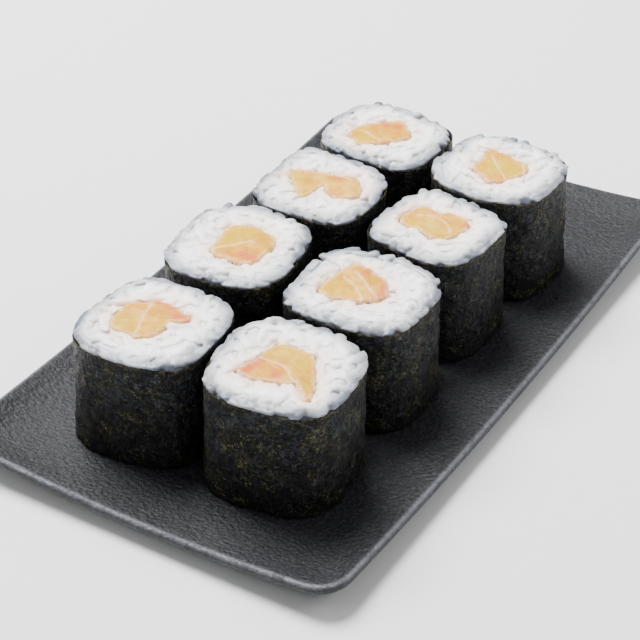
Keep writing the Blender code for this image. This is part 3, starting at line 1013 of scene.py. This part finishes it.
# %% Section and outline of the tray
TRAY_CORNER = 6.5 * MM
TRAY_BOW = 0.4 * MM  # how far the sides bow out
CORNER_LIFT = 2.6 * MM
CORNER_REACH = 2.2  # higher keeps the lift nearer to the corners
TRAY_COLUMNS = 760
CORNER_POINTS = 24
FLOOR_RINGS, FOOT_RINGS = 30, 8
SECTION_STEP = 0.5  # mm between the rings of the lip
LIP_INSET, LIP_WIDTH, LIP_FROM = 0.55, 0.42, 3.9  # mm: where the lip is painted palest, partly as wear and partly as its highlight
SIDE_WEAR_AND_LIGHT, SIDE_FROM = 0.3, 2.4  # how pale the side under the lip is painted, as wear and as light on it, and from which height
HALF = (TRAY_HIGH - TRAY_LOW)[:2] / 2
CENTRE = (TRAY_HIGH + TRAY_LOW)[:2] / 2

# inset from the widest outline and height in mm, then the share of the corners' lift
EDGE_SECTION = ((9.5, 0.0, 0.0), (7.5, 0.7, 0.1), (2.4, 1.9, 0.85), (0.7, 2.7, 1.0),
                (0.0, 3.7, 1.0), (0.25, 4.5, 1.0), (0.9, 4.9, 1.0), (2.2, 4.8, 0.9),
                (5.5, 4.3, 0.5), (9.5, 4.05, 0.15), (13.5, 4.0, 0.0))


def smooth_section(stations, spacing):
    """A rounded curve through the stations, read at about even steps."""
    stations = np.array(stations)
    padded = np.vstack([2 * stations[0] - stations[1], stations, 2 * stations[-1] - stations[-2]])
    curve = []
    for before, here, there, after in zip(padded, padded[1:], padded[2:], padded[3:]):
        steps = max(int(np.linalg.norm((there - here)[:2]) / spacing), 3)
        for t in np.linspace(0, 1, steps, endpoint=False):
            curve.append((2 * t ** 3 - 3 * t ** 2 + 1) * here
                         + (t ** 3 - 2 * t ** 2 + t) * (there - before) / 2
                         + (3 * t ** 2 - 2 * t ** 3) * there
                         + (t ** 3 - t ** 2) * (after - here) / 2)
    return np.array(curve + [stations[-1]])


def tray_ring(inset, count):
    """The rounded rectangle at an inset, evenly walked, its sides bowed."""
    half = HALF - TRAY_BOW - inset
    radius = max(TRAY_CORNER - inset, TRAY_CORNER / 3)
    corners = []
    for k, (sx, sy) in enumerate(((1, 1), (-1, 1), (-1, -1), (1, -1))):
        turn = np.linspace(k * math.pi / 2, (k + 1) * math.pi / 2, CORNER_POINTS)
        middle = np.array([sx, sy]) * (half - radius)
        corners.append(middle + radius * np.stack([np.cos(turn), np.sin(turn)], axis=1))
    loop = even_loop(np.vstack(corners), count, 2)
    share = loop / half
    return loop + TRAY_BOW * share * (1 - share[:, ::-1] ** 2)


def inner_rings(ring, steps):
    """Rings that shrink from one ring onto the tray's middle line."""
    reach = HALF[1] - HALF[0]
    spine = np.column_stack([np.zeros(len(ring)), np.clip(ring[:, 1], -reach, reach)])
    return [ring * (1 - s) + spine * s for s in np.linspace(0, 1, steps + 1)[1:]]


def tray_surface():
    """Points row by row, from the foot's middle over the lip to the floor's middle."""
    rows, lip = [], []
    for inset, height, lift in smooth_section(EDGE_SECTION, SECTION_STEP):
        ring = tray_ring(inset * MM, TRAY_COLUMNS)
        share = np.abs(ring / HALF) ** CORNER_REACH
        z = height * MM + CORNER_LIFT * lift * share[:, 0] * share[:, 1]
        rows.append(np.column_stack([ring, z]))
        # the lip and the side under it are painted paler, partly as wear and partly as light on them
        palest = math.exp(-((inset - LIP_INSET) / LIP_WIDTH) ** 2)
        side = SIDE_WEAR_AND_LIGHT if height > SIDE_FROM else 0.0
        lip.append(np.full(TRAY_COLUMNS, palest if height > LIP_FROM else side))
    for ring in inner_rings(rows[-1][:, :2], FLOOR_RINGS):
        rows.append(np.column_stack([ring, np.full(TRAY_COLUMNS, EDGE_SECTION[-1][1] * MM)]))
        lip.append(np.zeros(TRAY_COLUMNS))
    for ring in inner_rings(rows[0][:, :2], FOOT_RINGS):
        rows.insert(0, np.column_stack([ring, np.zeros(TRAY_COLUMNS)]))
        lip.insert(0, np.zeros(TRAY_COLUMNS))
    return np.array(rows), np.array(lip)


print("rings over the lip:", len(smooth_section(EDGE_SECTION, SECTION_STEP)))

# %% [markdown]
# The face of the clay is pebbled like leather. Pebbles a millimetre wide are pressed into
# the mesh, where they also break the light along the lip, and finer ones are left to the
# bump. The pebbles' crests are painted paler and the hollows darker, as painted highlight
# and shade. The lip is painted paler, partly as wear and partly as its highlight, and is
# smoother too.

# %% Tray mesh, finish and piece
def pebble(rows):
    """Press low pebbles into the tray, up to nothing at the flat foot."""
    points = rows.reshape(-1, 3)
    relief = (0.06 * lumps(points, 1.3 * MM, 2, seed=12)
              + 0.03 * lumps(points, 7.0 * MM, 2, seed=13))
    fade = np.clip(points[:, 2] / (2.0 * MM), 0, 1)
    points[:, 2] += np.clip(relief, -0.2, 0.14) * MM * fade
    return points


def stoneware_finish():
    """Charcoal satin-glazed clay, pebbled; crests and lip painted paler as highlight, the lip also as
    wear.
    """
    material, graph, shader = new_finish("charcoal_stoneware",
                                         {"Specular IOR Level": 0.24, "IOR": 1.5})
    spot = place(graph)
    cloud = speckle(spot, 14 * MM, 3)
    grit = speckle(spot, 0.45 * MM, 3)
    stones = graph.node("ShaderNodeTexVoronoi", {"feature": "SMOOTH_F1"},
                        {"Vector": place(graph, (1.0, 1.35, 1.0)), "Scale": 1 / (0.95 * MM)})
    leather = speckle(spot, 0.60 * MM, 2, 0.5, 0.8)
    lip_patches = 0.55 + 0.45 * speckle(spot, 3.0 * MM, 3, 0.6).step(0.3, 0.6)
    # the lip is painted paler and smoother, partly as wear and partly as its highlight
    wear_and_highlight = attribute(graph, "lip") * lip_patches
    color = cloud.tint((0.0055, 0.0056, 0.0068), (0.0092, 0.0094, 0.0114))
    # painted highlight and shade: the pebbles' crests are painted paler than the clay between them
    color = (leather.step(0.48, 0.66) * 0.6).tint(color, (0.030, 0.031, 0.036))
    color = (wear_and_highlight * 0.7).tint(color, (0.160, 0.165, 0.185))
    join(graph, shader, Base_Color=color, Roughness=0.52 + 0.14 * grit - 0.16 * wear_and_highlight)
    height = 1 - stones * 0.9 + leather * 0.8 + grit * 0.15
    join(graph, shader, Normal=bumps(height, 0.30 * MM))
    return material


rows, lip = tray_surface()
faces = grid_faces(len(rows), TRAY_COLUMNS)
points = pebble(rows) + (*CENTRE, 0.0)
tray = new_piece("stoneware_tray", points, faces, stoneware_finish(), {"lip": lip.ravel()})
weld = bmesh.new()
weld.from_mesh(tray.data)
bmesh.ops.remove_doubles(weld, verts=weld.verts, dist=SAME_PLACE)
weld.to_mesh(tray.data)
weld.free()
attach(tray, "root")
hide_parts("plate")
print("tray rows:", len(rows), "triangles:", 2 * len(tray.data.polygons))

# %% [markdown]
# ## Studio
# The rice has to stay white without losing its grains, and the nori has to show a sheen
# without turning grey. One broad lamp, high beyond the left row, does both: it shades
# every grain and leaves a soft sheen on the sheet. Two weaker ones, lower, at the near
# left and the far right, lift the walls that it leaves dark, and a pale floor and sky
# fill the rest. One lamp straight above would be simpler, but it flattens the grains.

# %% Floor, lamps and sky
def area_lamp(name, azimuth, elevation, distance, size, power):
    """A square lamp that faces the tray; azimuth and elevation are in degrees."""
    data = bpy.data.lights.new(name, "AREA")
    data.size, data.energy = size, power
    look_from(name, data, azimuth, elevation, distance)


def floor_finish():
    """Plain pale paper."""
    material, graph, shader = new_finish("pale_paper", {"Roughness": 0.8})
    grain = speckle(place(graph), 3 * MM, 2)
    join(graph, shader, Base_Color=grain.tint((0.70, 0.70, 0.70), (0.74, 0.74, 0.74)))
    return material


FLOOR = 4.0  # metres from the middle to the floor's sides
corners = [(-FLOOR, -FLOOR, 0), (FLOOR, -FLOOR, 0), (FLOOR, FLOOR, 0), (-FLOOR, FLOOR, 0)]
floor = new_piece("floor", corners, [(0, 1, 2, 3)], floor_finish())

area_lamp("key", azimuth=246, elevation=62, distance=0.9, size=0.5, power=31)
area_lamp("fill", azimuth=-36, elevation=38, distance=1.0, size=0.35, power=1.2)
area_lamp("side", azimuth=118, elevation=38, distance=1.0, size=0.4, power=3.2)

sky = bpy.data.worlds.new("sky")
sky.use_nodes = True
sky.node_tree.nodes["Background"].inputs["Color"].default_value = (0.97, 0.98, 1.0, 1.0)
sky.node_tree.nodes["Background"].inputs["Strength"].default_value = 0.52
bpy.context.scene.world = sky

# %% [markdown]
# ## End
# The new meshes have to stay inside the construction model's box.
